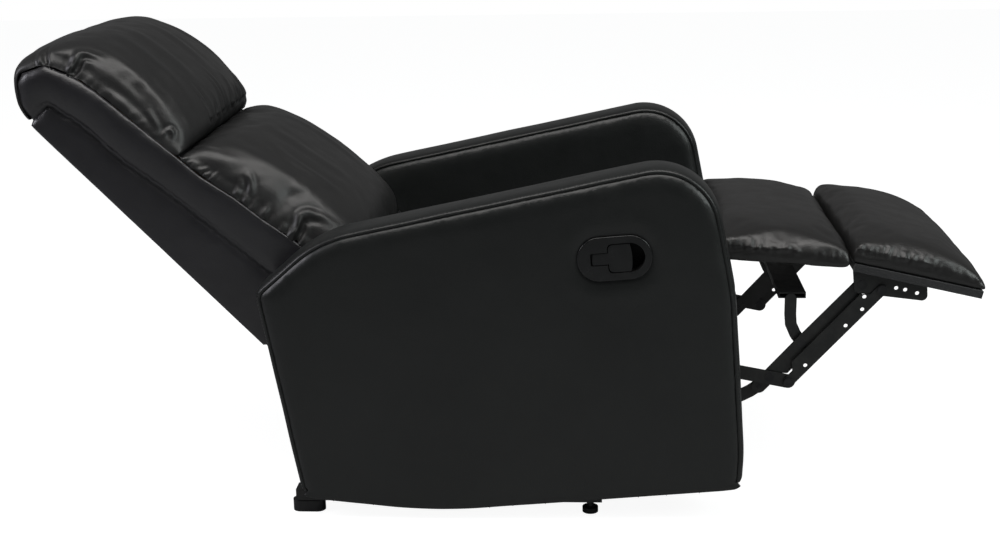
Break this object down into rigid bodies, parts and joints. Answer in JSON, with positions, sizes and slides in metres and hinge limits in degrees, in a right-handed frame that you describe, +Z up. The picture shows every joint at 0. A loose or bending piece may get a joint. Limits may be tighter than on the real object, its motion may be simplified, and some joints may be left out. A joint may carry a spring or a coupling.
{
  "type": "manual recliner",
  "caption": "Reclining armchair with a pull handle, tilting back, folding leg rest on a bar linkage and padded arms.",
  "frame": {"origin": "middle of the chair's length and width, on the floor, in the reclined pose", "axes": "+X to the footrest, +Y to the sitter's left, +Z up"},
  "size_m": [1.6266, 0.683, 0.8163],
  "materials": {
    "leather": "soft satin grain",
    "painted_steel": "satin black",
    "pin_steel": "black oxide",
    "spring_steel": "drawn wire",
    "black_plastic": "moulded",
    "gloss_plastic": "gloss",
    "timber": "sawn pine and ply",
    "dust_cloth": "non-woven"
  },
  "bodies": {
    "root": {"arm_outer_cover_right": "leather", "arm_outer_cover_left": "leather", "arm_inner_cover_right": "leather", "arm_inner_cover_left": "leather", "arm_band_right": "leather", "arm_band_left": "leather", "seat_cushion": "leather", "base_rail_right": "painted_steel", "base_rail_left": "painted_steel", "base_cross_tubes": "painted_steel", "base_posts": "painted_steel", "side_plate_right": "painted_steel", "side_plate_left": "painted_steel", "lever_bracket": "painted_steel", "post_bolts": "pin_steel", "arm_bolts": "pin_steel", "seat_bolts": "pin_steel", "back_hinge_pins": "pin_steel", "base_pins": "pin_steel", "spring_studs": "pin_steel", "handle_pin": "pin_steel", "seat_springs": "spring_steel", "lift_springs": "spring_steel", "rail_end_caps": "black_plastic", "front_feet": "black_plastic", "rear_feet": "black_plastic", "arm_glides": "black_plastic", "release_cable": "black_plastic", "handle_housing": "gloss_plastic", "arm_frame_right": "timber", "arm_frame_left": "timber", "seat_frame": "timber"},
    "back": {"back_brackets": "painted_steel", "back_bolts": "pin_steel", "back_uprights": "timber", "back_rails": "timber", "back_webbing": "dust_cloth", "back_side_cover_right": "leather", "back_side_cover_left": "leather", "back_rear_cover": "leather", "back_dust_roll": "dust_cloth", "lumbar_cushion": "leather", "headrest_cushion": "leather"},
    "front_links": {"front_links": "painted_steel", "torque_tube": "painted_steel", "link_pins": "pin_steel"},
    "carrier_links": {"carrier_links": "painted_steel", "support_straps": "painted_steel", "support_bar": "painted_steel", "carrier_pins": "pin_steel"},
    "leg_rest": {"leg_pins": "pin_steel", "leg_brackets": "painted_steel", "leg_board": "dust_cloth", "leg_flap_board": "dust_cloth", "leg_pad_upper": "leather", "leg_pad_lower": "leather"},
    "stay_links": {"stay_links": "painted_steel"},
    "lower_links": {"lower_links": "painted_steel"},
    "handle": {"handle_paddle": "gloss_plastic"},
    "release": {"release_lever": "painted_steel"}
  },
  "joints": [
    {"name": "back_recline", "type": "hinge", "parent": "root", "child": "back", "pos_m": [-0.26, 0, 0.33], "axis": [0, 1, 0], "range_deg": [0, 32]},
    {"name": "footrest_fold", "type": "hinge", "parent": "root", "child": "front_links", "pos_m": [0.233, 0, 0.305], "axis": [0, 1, 0], "range_deg": [0, 80], "deforming": ["lift_springs"]},
    {"name": "carrier_fold", "type": "hinge", "parent": "front_links", "child": "carrier_links", "pos_m": [0.454, 0, 0.22], "axis": [0, 1, 0], "range_deg": [-80, 0]},
    {"name": "leg_rest_fold", "type": "hinge", "parent": "carrier_links", "child": "leg_rest", "pos_m": [0.604, 0, 0.384], "axis": [0, 1, 0], "range_deg": [0, 80]},
    {"name": "stay_fold", "type": "hinge", "parent": "front_links", "child": "stay_links", "pos_m": [0.486, 0, 0.212], "axis": [0, 1, 0], "range_deg": [-80, 0]},
    {"name": "lower_fold", "type": "hinge", "parent": "root", "child": "lower_links", "pos_m": [0.216, 0, 0.2865], "axis": [0, 1, 0], "range_deg": [0, 80]},
    {"name": "handle_pull", "type": "hinge", "parent": "root", "child": "handle", "pos_m": [0.15311, -0.336, 0.45825], "axis": [0.0785, 0, -0.9969], "range_deg": [0, 25], "stiffness_Nm_per_rad": 0.6, "springref_deg": -20.05},
    {"name": "release_turn", "type": "hinge", "parent": "root", "child": "release", "pos_m": [0.154, -0.1995, 0.318], "axis": [0, 1, 0], "range_deg": [-35, 0]}
  ],
  "couplings": [
    {"joint": "carrier_fold", "follows": "footrest_fold", "ratio": -1},
    {"joint": "leg_rest_fold", "follows": "footrest_fold", "ratio": 1},
    {"joint": "stay_fold", "follows": "footrest_fold", "ratio": -1},
    {"joint": "lower_fold", "follows": "footrest_fold", "ratio": 1},
    {"joint": "release_turn", "follows": "handle_pull", "ratio": -1.4}
  ]
}
